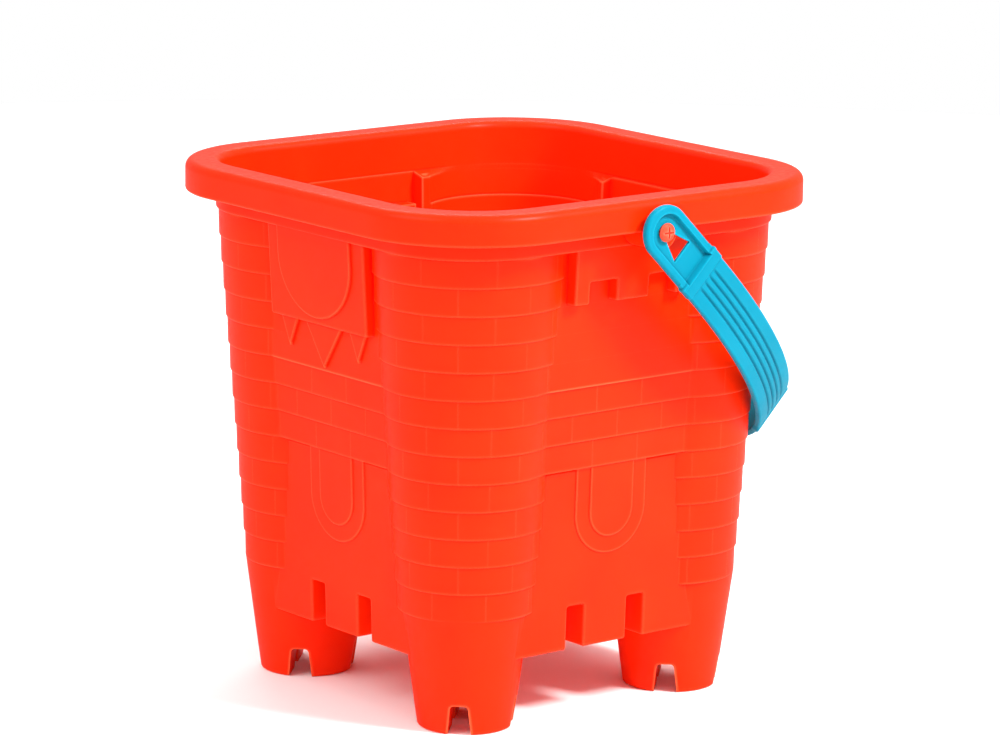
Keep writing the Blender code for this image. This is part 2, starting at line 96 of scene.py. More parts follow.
def copyRound(bm, turns):
    # keeps the shape and adds a turned copy about the bucket's middle for each angle
    first = bm.verts[:] + bm.edges[:] + bm.faces[:]
    for turn in turns:
        copied = vertsIn(bmesh.ops.duplicate(bm, geom=first)["geom"])
        bmesh.ops.rotate(bm, verts=copied, cent=(0, 0, 0), matrix=Matrix.Rotation(turn, 3, "Z"))
    return bm


def roundEdges(bm, edges, radius, steps):
    bmesh.ops.bevel(bm, geom=edges, offset=radius, offset_type="OFFSET", segments=steps, profile=0.5,
                    affect="EDGES", material=-1, clamp_overlap=True)


def sweep(sections):
    # extrudes the first closed section through the others, and closes both ends
    bm = bmesh.new()
    ring = [bm.verts.new(place) for place in sections[0]]
    edges = bm.faces.new(ring).edges[:]
    for places in sections[1:]:
        fresh = set(vertsIn(bmesh.ops.extrude_edge_only(bm, edges=edges)["geom"]))
        ring = [next(e.other_vert(v) for e in v.link_edges if e.other_vert(v) in fresh) for v in ring]
        for vert, place in zip(ring, places):
            vert.co = place
        edges = [bm.edges.get(pair) for pair in zip(ring, ring[1:] + ring[:1])]
    bmesh.ops.contextual_create(bm, geom=edges)
    return bm


def slab(points, low, high, cornerRadius=0.0):
    # a flat outline of (across, up) points, pushed from y = low to y = high
    bm = bmesh.new()
    outline = bm.faces.new([bm.verts.new((across, low, up)) for across, up in points])
    pushed = vertsIn(bmesh.ops.extrude_face_region(bm, geom=[outline])["geom"])
    bmesh.ops.translate(bm, verts=pushed, vec=(0, high - low, 0))
    bmesh.ops.recalc_face_normals(bm, faces=bm.faces)
    if cornerRadius:
        depthEdges = [edge for edge in bm.edges if abs(edge.verts[0].co.y - edge.verts[1].co.y) > sink / 2]
        roundEdges(bm, depthEdges, cornerRadius, 3)
    return bm


def raisedPanel(points, root, faceAt, soft, cornerRadius=0.0):
    # a slab whose front lies on a leaning plane, with its front edges rounded
    bm = slab(points, root, faceAt(points[0][1]) + sink, cornerRadius)
    for vert in bm.verts:
        if vert.co.y > root + sink / 2:
            vert.co.y = faceAt(vert.co.z)
    front = max(bm.faces, key=lambda face: face.calc_center_median().y)
    roundEdges(bm, front.edges[:], soft, 3)
    return bm


def archPoints(half, centre, top, steps):
    # straight sides from top down to the centre height, and a round end below
    points = [(-half, top)]
    for step in range(steps + 1):
        angle = math.pi * (1 + step / steps)
        points.append((half * math.cos(angle), centre + half * math.sin(angle)))
    points.append((half, top))
    return points


# The castle bucket

bucket = dict(
    courses=13, courseHeight=11.4 * mm, courseStep=0.92 * mm, courseDraft=0.25 * mm,
    towerCentre=52.5 * mm, towerRadius=39.2 * mm, towerSteps=40, courseEdge=0.7 * mm,
    plainCourses=5, bandCourses=3, bandStep=1.16 * mm, bandDraft=0.3 * mm, plainLip=0.02 * mm,
    wallTop=85.6 * mm, wallMiddle=84.3 * mm, lowerTop=78.7 * mm, lowerBottom=76.2 * mm,
    coreDepth=0.5 * mm,  # the lower courses stop this far behind the lower wall's face
    innerLedge=0.05 * mm,  # rise of each step on the inside, so that no two rings share a height
    skin=2.0 * mm, footHeight=48.0 * mm,
)
rim = dict(
    cornerCentre=54.0 * mm, spread=math.radians(30), collar=92.4 * mm, skirt=105.0 * mm,
    skirtBottom=203.8 * mm, flangeBottom=214.3 * mm, top=216.5 * mm,
    lipRound=3.6 * mm, mouthRound=3.0 * mm, edgeRound=0.8 * mm, cornerSteps=8,
)


def courseBottom(course):
    return bucket["footHeight"] + (bucket["courses"] - course) * bucket["courseHeight"]


def towerRadius(course):
    return bucket["towerRadius"] - (course - 1) * bucket["courseStep"]


bandTop = courseBottom(bucket["plainCourses"])
bandBottom = courseBottom(bucket["plainCourses"] + bucket["bandCourses"])
collarBottom = courseBottom(0)


def upperWall(z):
    return mix(bucket["wallMiddle"], bucket["wallTop"], (z - bandTop) / (collarBottom - bandTop))


def lowerWall(z):
    share = (z - battlement["bottom"]) / (bandBottom - battlement["bottom"])
    return mix(bucket["lowerBottom"], bucket["lowerTop"], share)


def wallAt(course, z):
    climb = (z - courseBottom(course)) / bucket["courseHeight"]
    if course <= bucket["plainCourses"]:
        return upperWall(z) + bucket["plainLip"] * climb
    if course <= bucket["plainCourses"] + bucket["bandCourses"]:
        drop = bucket["bandStep"] * (course - bucket["plainCourses"])
        return bucket["wallMiddle"] - drop + bucket["bandDraft"] * climb
    return lowerWall(z) - bucket["coreDepth"] + bucket["plainLip"] * climb


def ringPoints(height, centre, radius, wall):
    # four round corners joined by flat walls; a wall flush with its corners makes a rounded square
    flush = wall >= centre + radius
    spread = rim["spread"] if flush else math.acos((wall - centre) / radius)
    points = []
    for quarter in range(4):
        turn = Matrix.Rotation(quarter * math.pi / 2, 3, "Z")
        for step in range(bucket["towerSteps"] + 1):
            angle = mix(-spread, math.pi / 2 + spread, step / bucket["towerSteps"])
            x = centre + radius * math.cos(max(angle, 0) if flush else angle)
            y = centre + radius * math.sin(min(angle, math.pi / 2) if flush else angle)
            points.append(turn @ Vector((x, y, height)))
    return points


def stack(rings):
    # each ring is (height, corner centre, corner radius, wall)
    return sweep([ringPoints(*ring) for ring in rings])


def rimRing(height, half):
    return (height, rim["cornerCentre"], half - rim["cornerCentre"], half + sink)


def roundedRims(corner, radius, start, sweep, steps):
    # rim rings round a corner: corner is (half width, height) of the arc's centre, angles in degrees
    half, height = corner
    for step in range(steps + 1):
        angle = math.radians(start + sweep * step / steps)
        yield rimRing(height + radius * math.sin(angle), half + radius * math.cos(angle))


def courseRings(course):
    # the lower edge of each course is rounded, so it catches the light as a thin line
    bottom, edge = courseBottom(course), bucket["courseEdge"]
    radius = towerRadius(course)
    banded = bucket["plainCourses"] < course <= bucket["plainCourses"] + bucket["bandCourses"]
    for step in range(4):
        angle = math.pi / 2 * step / 3
        inset, z = edge * (1 - math.sin(angle)), bottom + edge * (1 - math.cos(angle))
        yield (z, bucket["towerCentre"], radius - inset, wallAt(course, z) - (inset if banded else 0))
    z = bottom + bucket["courseHeight"]
    yield (z, bucket["towerCentre"], radius + bucket["courseDraft"], wallAt(course, z))


def outerForm():
    rings = []
    for course in range(bucket["courses"], 0, -1):
        rings += courseRings(course)
    small, lip = rim["edgeRound"], rim["lipRound"]
    inner = rim["skirt"] - bucket["skin"]
    rings += roundedRims((rim["collar"] - small, collarBottom + small), small, -90, 90, 3)
    rings += [rimRing(rim["flangeBottom"] - small, rim["collar"])]
    rings += [rimRing(rim["flangeBottom"], rim["collar"] + small)]
    rings += [rimRing(rim["flangeBottom"], inner - small)]
    rings += [rimRing(rim["flangeBottom"] - small, inner)]
    rings += roundedRims((inner + small, rim["skirtBottom"] + small), small, 180, 90, 3)
    rings += roundedRims((rim["skirt"] - small, rim["skirtBottom"] + small), small, -90, 90, 3)
    rings += roundedRims((rim["skirt"] - lip, rim["top"] - lip), lip, 0, 90, rim["cornerSteps"])
    return stack(rings)


def innerForm():
    # the hollow follows the outside one skin in, and opens with a rounded mouth
    skin, core, ledge = bucket["skin"], bucket["coreDepth"], bucket["innerLedge"]
    floor = bucket["footHeight"] + skin
    rings = [(floor, bucket["towerCentre"], towerRadius(bucket["courses"]) - skin,
              wallAt(bucket["courses"], floor) - skin + core)]
    for course in range(bucket["courses"], 0, -1):
        forward = core if course > bucket["plainCourses"] + bucket["bandCourses"] else 0.0
        top = courseBottom(course) + bucket["courseHeight"]
        low = max(courseBottom(course), floor + 2 * ledge)
        radius = towerRadius(course) - skin
        rings.append((low + ledge, bucket["towerCentre"], radius, wallAt(course, low) - skin + forward))
        rings.append((top, bucket["towerCentre"], radius + bucket["courseDraft"],
                      wallAt(course, top) - skin + forward))
    half, mouth = rim["collar"] - skin, rim["mouthRound"]
    rings += [rimRing(collarBottom + skin, half)]
    rings += roundedRims((half + mouth, rim["top"] - mouth), mouth, 180, -90, 6)
    rings += [rimRing(rim["top"] + sink, half + mouth)]
    return stack(rings)


# Battlements under the walls, and the slotted feet

battlement = dict(
    bottom=29.6 * mm, inner=61.0 * mm, middleHalf=11.2 * mm, notchOuter=20.0 * mm, notchTop=47.6 * mm,
    half=50.0 * mm, underBand=0.3 * mm, frontRound=1.3 * mm, cornerRound=1.0 * mm,
    frontSkin=2.2 * mm, roomRound=0.4 * mm,
)
foot = dict(
    centre=54.0 * mm, bottomRadius=19.4 * mm, topRadius=25.9 * mm, sides=96, edgeRound=1.0 * mm,
    slotHeight=12.4 * mm, slotTop=3.5 * mm, slotBottom=4.9 * mm, slotRound=1.4 * mm,
)


def battlementWall():
    low, high, top = battlement["bottom"], battlement["notchTop"], bandBottom - battlement["underBand"]
    inner, outer, end = battlement["middleHalf"], battlement["notchOuter"], battlement["half"]
    right = [(inner, low), (inner, high), (outer, high), (outer, low), (end, low), (end, top)]
    left = [(-across, up) for across, up in reversed(right)]
    wall = raisedPanel(left + right, battlement["inner"], lowerWall, battlement["frontRound"],
                       battlement["cornerRound"])
    return copyRound(wall, quarterTurns)


def merlonRooms():
    # hollow backs of the merlons, reached from inside the bucket
    skin, low, high = bucket["skin"], battlement["bottom"], bucket["footHeight"] + bucket["skin"] + sink
    inner, outer, end = battlement["middleHalf"], battlement["notchOuter"], battlement["half"]
    rooms = []
    for left, right in ((-end, -outer - skin), (skin - inner, inner - skin), (outer + skin, end)):
        points = [(left, low + skin), (right, low + skin), (right, high), (left, high)]
        room = raisedPanel(points, battlement["inner"] + skin,
                           lambda z: lowerWall(z) - battlement["frontSkin"], battlement["roomRound"])
        rooms.append(copyRound(room, quarterTurns))
    return rooms


def footCones(skin=0.0):
    # with a skin, the rooms inside the feet
    slope = (foot["topRadius"] - foot["bottomRadius"]) / bucket["footHeight"]
    low, high = skin, bucket["footHeight"] + skin + sink
    bm = bmesh.new()
    place = Matrix.Translation((foot["centre"], foot["centre"], (low + high) / 2))
    bmesh.ops.create_cone(bm, cap_ends=True, segments=foot["sides"], depth=high - low, matrix=place,
                          radius1=foot["bottomRadius"] + slope * low - skin,
                          radius2=foot["bottomRadius"] + slope * high - skin)
    bottom = [edge for edge in bm.edges if max(vert.co.z for vert in edge.verts) < low + tiny]
    roundEdges(bm, bottom, foot["edgeRound"], 4)
    return copyRound(bm, quarterTurns)


def footSlot(direction, skin=0.0):
    # one straight channel under each foot, with rounded upper corners; a skin makes it wider and higher
    low, high = -sink, foot["slotHeight"] + skin
    wide, narrow = foot["slotBottom"] + skin, foot["slotTop"] + skin
    reach = foot["topRadius"] + sink
    bm = slab([(-wide, low), (wide, low), (narrow, high), (-narrow, high)], -reach, reach)
    corners = [edge for edge in bm.edges if min(vert.co.z for vert in edge.verts) > high - tiny
               and abs(edge.verts[0].co.x - edge.verts[1].co.x) < tiny]
    roundEdges(bm, corners, foot["slotRound"], 4)
    turn = Matrix.Rotation(math.radians(direction), 3, "Z")
    bmesh.ops.rotate(bm, verts=bm.verts, cent=(0, 0, 0), matrix=turn)
    bmesh.ops.translate(bm, verts=bm.verts, vec=(foot["centre"], foot["centre"], 0))
    return copyRound(bm, quarterTurns)


# Reliefs on the walls

gate = dict(
    half=32.2 * mm, bottom=158.8 * mm, faceBottom=88.6 * mm, faceTop=90.9 * mm, soft=0.9 * mm,
    cornerRound=0.9 * mm, tongueHalf=24.4 * mm, tongueCentre=186.0 * mm, tongueRise=1.2 * mm,
    tongueSoft=0.6 * mm, toothRise=1.5 * mm, toothSoft=0.5 * mm,
    sideTooth=(23.0 * mm, 6.5 * mm, 146.4 * mm),  # centre, half width and tip
    middleTooth=(0.0, 13.5 * mm, 140.8 * mm),
)
crest = dict(
    half=29.6 * mm, sideInner=22.2 * mm, middleHalf=8.2 * mm, bottom=174.2 * mm, notchTop=183.2 * mm,
    faceBottom=90.5 * mm, faceTop=91.9 * mm, soft=0.9 * mm, cornerRound=0.9 * mm, hollowSoft=0.3 * mm,
)
window = dict(centre=86.0 * mm, outerHalf=18.2 * mm, innerHalf=11.2 * mm, rise=0.65 * mm, soft=0.5 * mm)


def leaningFace(relief, z):
    share = (z - relief["bottom"]) / (collarBottom - relief["bottom"])
    return mix(relief["faceBottom"], relief["faceTop"], share)


def panelTop(skin):
    # a relief ends inside the collar, and the hollow behind it runs up into the collar's room
    return collarBottom + (1.5 * skin if skin else 2 * sink)


def gatePanel(skin=0.0):
    # with a skin, the hollow behind the gate
    top = panelTop(skin)
    half, bottom = gate["half"] - skin, gate["bottom"] + skin
    points = [(-half, top), (-half, bottom), (half, bottom), (half, top)]
    panel = raisedPanel(points, bucket["wallMiddle"] - sink - 2 * skin, lambda z: leaningFace(gate, z) - skin,
                        gate["soft"], 0.0 if skin else gate["cornerRound"])
    return copyRound(panel, halfTurn)


def gateTongue():
    points = archPoints(gate["tongueHalf"], gate["tongueCentre"], panelTop(0.0), 40)
    tongue = raisedPanel(points, bucket["wallMiddle"], lambda z: leaningFace(gate, z) + gate["tongueRise"],
                         gate["tongueSoft"])
    return copyRound(tongue, halfTurn)


def gateTooth(centre, half, tip):
    top = gate["bottom"] + 2 * sink
    points = [(centre - half, top), (centre, tip), (centre + half, top)]
    tooth = raisedPanel(points, bucket["wallMiddle"] - sink, lambda z: upperWall(z) + gate["toothRise"],
                        gate["toothSoft"])
    return copyRound(tooth, halfTurn)


def crestPanel(skin=0.0):
    # with a skin, the hollow behind the crest
    top = panelTop(skin)
    bottom, notch = crest["bottom"] + skin, crest["notchTop"] + skin
    middle, inner, outer = crest["middleHalf"] - skin, crest["sideInner"] + skin, crest["half"] - skin
    soft, cornerRound = (crest["hollowSoft"], 0.0) if skin else (crest["soft"], crest["cornerRound"])
    right = [(middle, bottom), (middle, notch), (inner, notch), (inner, bottom), (outer, bottom)]
    right.append((outer, top))
    left = [(-across, up) for across, up in reversed(right)]
    panel = raisedPanel(left + right, bucket["wallMiddle"] - sink - 2 * skin,
                        lambda z: leaningFace(crest, z) - skin, soft, cornerRound)
    bmesh.ops.rotate(panel, verts=panel.verts, cent=(0, 0, 0), matrix=Matrix.Rotation(math.pi / 2, 3, "Z"))
    return copyRound(panel, halfTurn)


def windowStep(half, rise):
    points = archPoints(half, window["centre"], bandBottom + sink, 32)
    arch = raisedPanel(points, bucket["lowerBottom"] - sink, lambda z: lowerWall(z) + rise, window["soft"])
    return copyRound(arch, quarterTurns)


# Upright joints between the bricks

brick = dict(length=23.3 * mm, turn=math.radians(45), endTurn=math.radians(4), width=0.3 * mm,
             depth=0.07 * mm, play=0.1 * mm)


def groove(bm, place, draft):
    # a thin bar across one course, leaning out with the brick faces
    height = bucket["courseHeight"] - 2 * brick["play"]
    lean = Matrix.Rotation(math.atan(draft / bucket["courseHeight"]), 4, "Y")
    size = Matrix.Diagonal((2 * brick["depth"], brick["width"], height, 1))
    bmesh.ops.create_cube(bm, size=1.0, matrix=place @ lean @ size)


def towerJoints():
    bm = bmesh.new()
    centre = bucket["towerCentre"]
    for course in range(1, bucket["courses"] + 1):
        radius = towerRadius(course) + bucket["courseDraft"] / 2
        shift = 0 if course % 2 == 0 else brick["turn"] / 2
        wall = wallAt(course, courseBottom(course))
        limit = math.pi / 4 + math.acos((wall - centre) / radius) - brick["endTurn"]
        count = int((limit - shift) / brick["turn"]) + 1
        middle = courseBottom(course) + bucket["courseHeight"] / 2
        angles = {side * (shift + brick["turn"] * number) for number in range(count) for side in (-1, 1)}
        for angle in sorted(angles):
            spin = Matrix.Rotation(math.pi / 4 + angle, 4, "Z")
            place = Matrix.Translation((centre, centre, middle)) @ spin @ Matrix.Translation((radius, 0, 0))
            groove(bm, place, bucket["courseDraft"])
    return copyRound(bm, quarterTurns)


def bandJoints():
    bm = bmesh.new()
    for row in range(bucket["bandCourses"]):
        course = bucket["plainCourses"] + 1 + row
        middle = courseBottom(course) + bucket["courseHeight"] / 2
        places = (-0.5, 0.5) if row % 2 == 0 else (-1, 0, 1)
        for place in places:
            at = Vector((wallAt(course, middle), place * brick["length"], middle))
            groove(bm, Matrix.Translation(at), bucket["bandDraft"])
    return copyRound(bm, quarterTurns)


# The round blocks that hold the pegs

hinge = dict(height=203.8 * mm, bossRadius=7.5 * mm, bossRoot=91.4 * mm, bossEnd=108.2 * mm,
             bossRound=0.6 * mm, boreRadius=2.8 * mm, boreRoot=99.2 * mm, sides=48)


def lyingCylinder(radius, low, high, soft=0.0):
    bm = bmesh.new()
    place = Matrix.Translation(((low + high) / 2, 0, hinge["height"])) @ Matrix.Rotation(math.pi / 2, 4, "Y")
    bmesh.ops.create_cone(bm, cap_ends=True, segments=hinge["sides"], radius1=radius, radius2=radius,
                          depth=high - low, matrix=place)
    if soft:
        end = [edge for edge in bm.edges if min(vert.co.x for vert in edge.verts) > high - tiny]
        roundEdges(bm, end, soft, 3)
    return copyRound(bm, halfTurn)


def bucketShell():
    shell = makePiece("castle_bucket", outerForm())
    carve(shell, "UNION", battlementWall(), footCones())
    carve(shell, "UNION", gatePanel(), gateTongue(), crestPanel(), gateTooth(*gate["middleTooth"]))
    offset, half, tip = gate["sideTooth"]
    carve(shell, "UNION", gateTooth(offset, half, tip), gateTooth(-offset, half, tip))
    carve(shell, "UNION", windowStep(window["outerHalf"], window["rise"]),
          windowStep(window["innerHalf"], 2 * window["rise"]),
          lyingCylinder(hinge["bossRadius"], hinge["bossRoot"], hinge["bossEnd"], hinge["bossRound"]))
    carve(shell, "DIFFERENCE", footSlot(45), footSlot(135), towerJoints(), bandJoints())
    rooms = makePiece("footRooms", footCones(bucket["skin"]))
    carve(rooms, "DIFFERENCE", footSlot(45, bucket["skin"]), footSlot(135, bucket["skin"]))
    footRooms = bmesh.new()
    footRooms.from_mesh(rooms.data)
    bpy.data.objects.remove(rooms, do_unlink=True)
    carve(shell, "DIFFERENCE", innerForm(), *merlonRooms(), gatePanel(bucket["skin"]),
          crestPanel(bucket["skin"]), footRooms,
          lyingCylinder(hinge["boreRadius"], hinge["boreRoot"], hinge["bossEnd"] + sink))
    smoothOver(shell, 32)
    print("bucket moulded:", len(shell.data.polygons), "faces")
    return shell


shell = bucketShell()


# The strap handle

strap = dict(
    restAngle=math.radians(45), halfSpan=111.5 * mm, reach=137.0 * mm, thick=3.0 * mm, half=11.0 * mm,
    start=20.0 * mm, cornerSpan=65.0 * mm, cornerReach=108.0 * mm, cornerSteps=90, edgeRound=0.8 * mm,
    grooves=(-4.8 * mm, -1.6 * mm, 1.6 * mm, 4.8 * mm), grooveHalf=0.95 * mm, grooveDepth=0.7 * mm,
    grooveStart=29.5 * mm, grooveEnd=122.0 * mm, grooveFade=1.2 * mm,
    # stretches along the strap: the ridge that closes the eye, the flat band, and the ridge at the grip
    ridge=(22.2 * mm, 24.4 * mm), band=(22.2 * mm, 28.8 * mm), farRidge=(124.0 * mm, 126.5 * mm),
    ridgeRise=0.6 * mm, bandShare=0.5, ridgeSlope=0.5 * mm,
)
eye = dict(
    border=3.8 * mm, plateEnd=25.0 * mm, frontRound=1.3 * mm, backRound=0.6 * mm,
    recessDepth=1.9 * mm, recessEnd=22.4 * mm, recessRound=0.4 * mm, flareAlong=1.06, flareAcross=1.14,
    holeRadius=3.3 * mm, keyEnd=12.6 * mm, keyHalf=5.3 * mm, keyAngle=math.radians(38),
)


def strapSection(groove, band):
    # points round the strap's section as (out, across): the outer face has the grooves
    points = []
    soft, half = strap["edgeRound"], strap["half"] + band
    for corner, (outSide, acrossSide) in enumerate(((1, -1), (1, 1), (-1, 1), (-1, -1))):
        middle = ((band if outSide > 0 else -strap["thick"]) - outSide * soft, acrossSide * (half - soft))
        for step in range(5):
            angle = math.pi / 2 * (corner - 1 + step / 4)
            points.append((middle[0] + soft * math.cos(angle), middle[1] + soft * math.sin(angle)))
        if corner == 0:
            for centre in strap["grooves"]:
                for step in range(7):
                    share = step / 3 - 1
                    dip = groove * strap["grooveDepth"] * (1 + math.cos(math.pi * share)) / 2
                    points.append((band - dip, centre + share * strap["grooveHalf"]))
    return points


def strapLine():
    # half of the strap's outer line, from the eye plate to the grip's middle: (x, reach, outward angle)
    line = []
    straightEnd = strap["reach"] - strap["cornerReach"]
    marks = [strap["start"], straightEnd - 2 * tiny]
    for low, high in (strap["ridge"], strap["band"]):
        slope = strap["ridgeSlope"]
        marks += [low, low + slope / 2, low + slope, high - slope, high - slope / 2, high]
    for reach in sorted(set(marks)):
        line.append((strap["halfSpan"], reach, 0.0))
    for step in range(strap["cornerSteps"] + 1):
        angle = math.pi / 2 * step / strap["cornerSteps"]
        x = strap["halfSpan"] - strap["cornerSpan"] * (1 - math.cos(angle))
        reach = strap["reach"] - strap["cornerReach"] * (1 - math.sin(angle))
        outward = math.atan2(strap["cornerSpan"] * math.sin(angle), strap["cornerReach"] * math.cos(angle))
        line.append((x, reach, outward))
    return line


def plateau(value, low, high, fade):
    # 1 between low and high, falling to 0 over the fade on both sides
    return max(0.0, min(1.0, (value - low) / fade, (high - value) / fade))


def strapBody():
    half = strapLine()
    line = half + [(-x, reach, math.pi - outward) for x, reach, outward in reversed(half)]
    sections = []
    for x, reach, outward in line:
        groove = plateau(reach, strap["grooveStart"], strap["grooveEnd"], strap["grooveFade"])
        ridge = max(plateau(reach, *strap["ridge"], strap["ridgeSlope"]),
                    plateau(reach, *strap["farRidge"], strap["ridgeSlope"]),
                    plateau(reach, *strap["band"], strap["ridgeSlope"]) * strap["bandShare"])
        out = Vector((math.cos(outward), math.sin(outward), 0))
        section = strapSection(math.sqrt(groove), strap["ridgeRise"] * math.sqrt(ridge))
        sections.append([Vector((x, reach, across)) + out * rise for rise, across in section])
    return sweep(sections)


def onSide(bm, side):
    # turns a slab from (across, depth, up) to lie on the strap's leg: x is out, y is reach, z is width
    for vert in bm.verts:
        vert.co = Vector((side * vert.co.y, vert.co.x, vert.co.z))
    bmesh.ops.recalc_face_normals(bm, faces=bm.faces)
    return bm


def roundEnd(radius, end, steps=32):
    # a straight stretch up to end, closed by a half circle about the hinge
    points = [(end, -radius)]
    for step in range(steps + 1):
        angle = -math.pi / 2 - math.pi * step / steps
        points.append((radius * math.cos(angle), radius * math.sin(angle)))
    points.append((end, radius))
    return points


def eyePlate(side):
    face, back = strap["halfSpan"], strap["halfSpan"] - strap["thick"]
    plate = slab(roundEnd(strap["half"], eye["plateEnd"]), back, face)
    front = max(plate.faces, key=lambda item: item.calc_center_median().y)
    roundEdges(plate, front.edges[:], eye["frontRound"], 5)
    rear = min(plate.faces, key=lambda item: item.calc_center_median().y)
    roundEdges(plate, rear.edges[:], eye["backRound"], 2)
    return onSide(plate, side)


def eyeRecess(side):
    face = strap["halfSpan"]
    radius = strap["half"] - eye["border"]
    room = slab(roundEnd(radius, eye["recessEnd"]), face - eye["recessDepth"], face + sink)
    for vert in room.verts:
        if vert.co.y > face:
            vert.co.x *= eye["flareAlong"]
            vert.co.z *= eye["flareAcross"]  # the sides flare, so the border reads as a rounded bead
    floor = min(room.faces, key=lambda item: item.calc_center_median().y)
    roundEdges(room, floor.edges[:], eye["recessRound"], 3)
    return onSide(room, side)


def keyHole(side):
    points = []
    for step in range(33):
        angle = mix(eye["keyAngle"], 2 * math.pi - eye["keyAngle"], step / 32)
        points.append((eye["holeRadius"] * math.cos(angle), eye["holeRadius"] * math.sin(angle)))
    points += [(eye["keyEnd"], -eye["keyHalf"]), (eye["keyEnd"], eye["keyHalf"])]
    back = strap["halfSpan"] - strap["thick"] - sink
    return onSide(slab(points, back, strap["halfSpan"] + sink), side)


def strapHandle():
    handle = makePiece("strap_handle", strapBody())
    carve(handle, "UNION", eyePlate(1), eyePlate(-1))
    carve(handle, "DIFFERENCE", eyeRecess(1), eyeRecess(-1), keyHole(1), keyHole(-1))
    tilt = Matrix.Translation((0, 0, hinge["height"])) @ Matrix.Rotation(-strap["restAngle"], 4, "X")
    handle.data.transform(tilt)
    smoothOver(handle, 35)
    print("handle moulded:", len(handle.data.polygons), "faces")
    return handle


handle = strapHandle()


# The push-in pegs

peg = dict(
    neck=2.5 * mm, head=3.8 * mm, rise=2.2 * mm, seat=110.0 * mm, root=99.5 * mm, tip=1.2 * mm,
    seatEdge=0.3 * mm, side=0.6 * mm, domeFullness=0.8, domeSteps=8,
    crossLength=4.6 * mm, crossWidth=0.7 * mm, crossDepth=0.5 * mm,
)


def pushPeg(name, side):
    # (along, radius) turned about X: a pointed neck, a flat seat and a low dome
    root, neck, seat = peg["root"], peg["neck"], peg["seat"]
    profile = [(root, 0), (root, neck - peg["tip"]), (root + peg["tip"], neck), (seat, neck)]
    profile.append((seat, peg["head"] - peg["seatEdge"]))
    for step in range(peg["domeSteps"]):
        angle = math.pi / 2 * step / peg["domeSteps"]
        along = seat + mix(peg["side"], peg["rise"], math.sin(angle))
        profile.append((along, peg["head"] * math.cos(angle) ** peg["domeFullness"]))
    end = seat + peg["rise"]
    profile.append((end, 0))
    bm = bmesh.new()
    verts = [bm.verts.new((x, radius, 0)) for x, radius in profile]
    edges = [bm.edges.new(pair) for pair in zip(verts, verts[1:])]
    bmesh.ops.spin(bm, geom=verts + edges, cent=(0, 0, 0), axis=(1, 0, 0), angle=2 * math.pi, steps=48,
                   use_merge=True)
    bmesh.ops.remove_doubles(bm, verts=bm.verts, dist=tiny / 20)
    piece = makePiece(name, bm)
    for size in ((peg["crossLength"], peg["crossWidth"]), (peg["crossWidth"], peg["crossLength"])):
        block = Matrix.Translation((end, 0, 0)) @ Matrix.Diagonal((2 * peg["crossDepth"], *size, 1))
        bar = bmesh.new()
        bmesh.ops.create_cube(bar, size=1.0, matrix=block)
        carve(piece, "DIFFERENCE", bar)
    turn = Matrix.Rotation(0 if side > 0 else math.pi, 4, "Z")
    piece.data.transform(Matrix.Translation((0, 0, hinge["height"])) @ turn)
    smoothOver(piece, 40)
    return piece


rightPeg = pushPeg("push_peg_right", 1)
leftPeg = pushPeg("push_peg_left", -1)
print("pegs turned")


# Materials

def linearColour(hexValue):
    channels = [int(hexValue[place:place + 2], 16) / 255 for place in (0, 2, 4)]
    return (*(c / 12.92 if c <= 0.04045 else ((c + 0.055) / 1.055) ** 2.4 for c in channels), 1.0)


def addNode(tree, kind, settings=None, links=None):
    node = tree.nodes.new(kind)
    for name, value in (settings or {}).items():
        if isinstance(name, str) and hasattr(node, name):
            setattr(node, name, value)
        else:
            node.inputs[name].default_value = value
    for name, source in (links or {}).items():
        tree.links.new(source, node.inputs[name])
    return node


def setRamp(node, low, high, lowAt, highAt):
    first, last = node.color_ramp.elements
    first.position, first.color = lowAt, low
    last.position, last.color = highAt, high


# Injection-moulded polypropylene: even strong colour, soft broad highlights, a faint glow inside thin
# walls, and a surface that waves a little where the melt has flowed and shrunk. Outer edges get a paler
# colour painted on as highlight, and inner corners a darker colour painted on as shade.
# the last two sizes are how far the painted highlight reaches in from outer edges and the painted shade out
# of inner corners
polypropylene = dict(
    ior=1.49, specular=0.075, glow=0.05, glowDepth=2.0 * mm,
    flowSize=38.0 * mm, flowRise=1.5 * mm, grainSize=0.9 * mm, grainRise=0.1 * mm, scuffSize=2.6 * mm,
    scuffRoughness=0.12, edgeRadius=0.4 * mm, paintedHighlightReach=1.1 * mm, paintedShadeReach=1.6 * mm,
)
# the melt drifts between two hex colours; the handle is a little duller than the bucket
# each pigment also lists a paler colour painted on as highlight along outer edges, then a darker colour
# painted on as shade in inner corners
redPigment = dict(melt=("FF2602", "FF2B04"), paintedEdgeHighlight="FF5C36", corner="F80E01", roughness=0.3)
cyanPigment = dict(melt=("007C96", "00849E"), paintedEdgeHighlight="0494B0", corner="003C58", roughness=0.4)
coralPigment = dict(melt=("FF4028", "FF4831"), paintedEdgeHighlight="FF6850", corner="F02814", roughness=0.34)


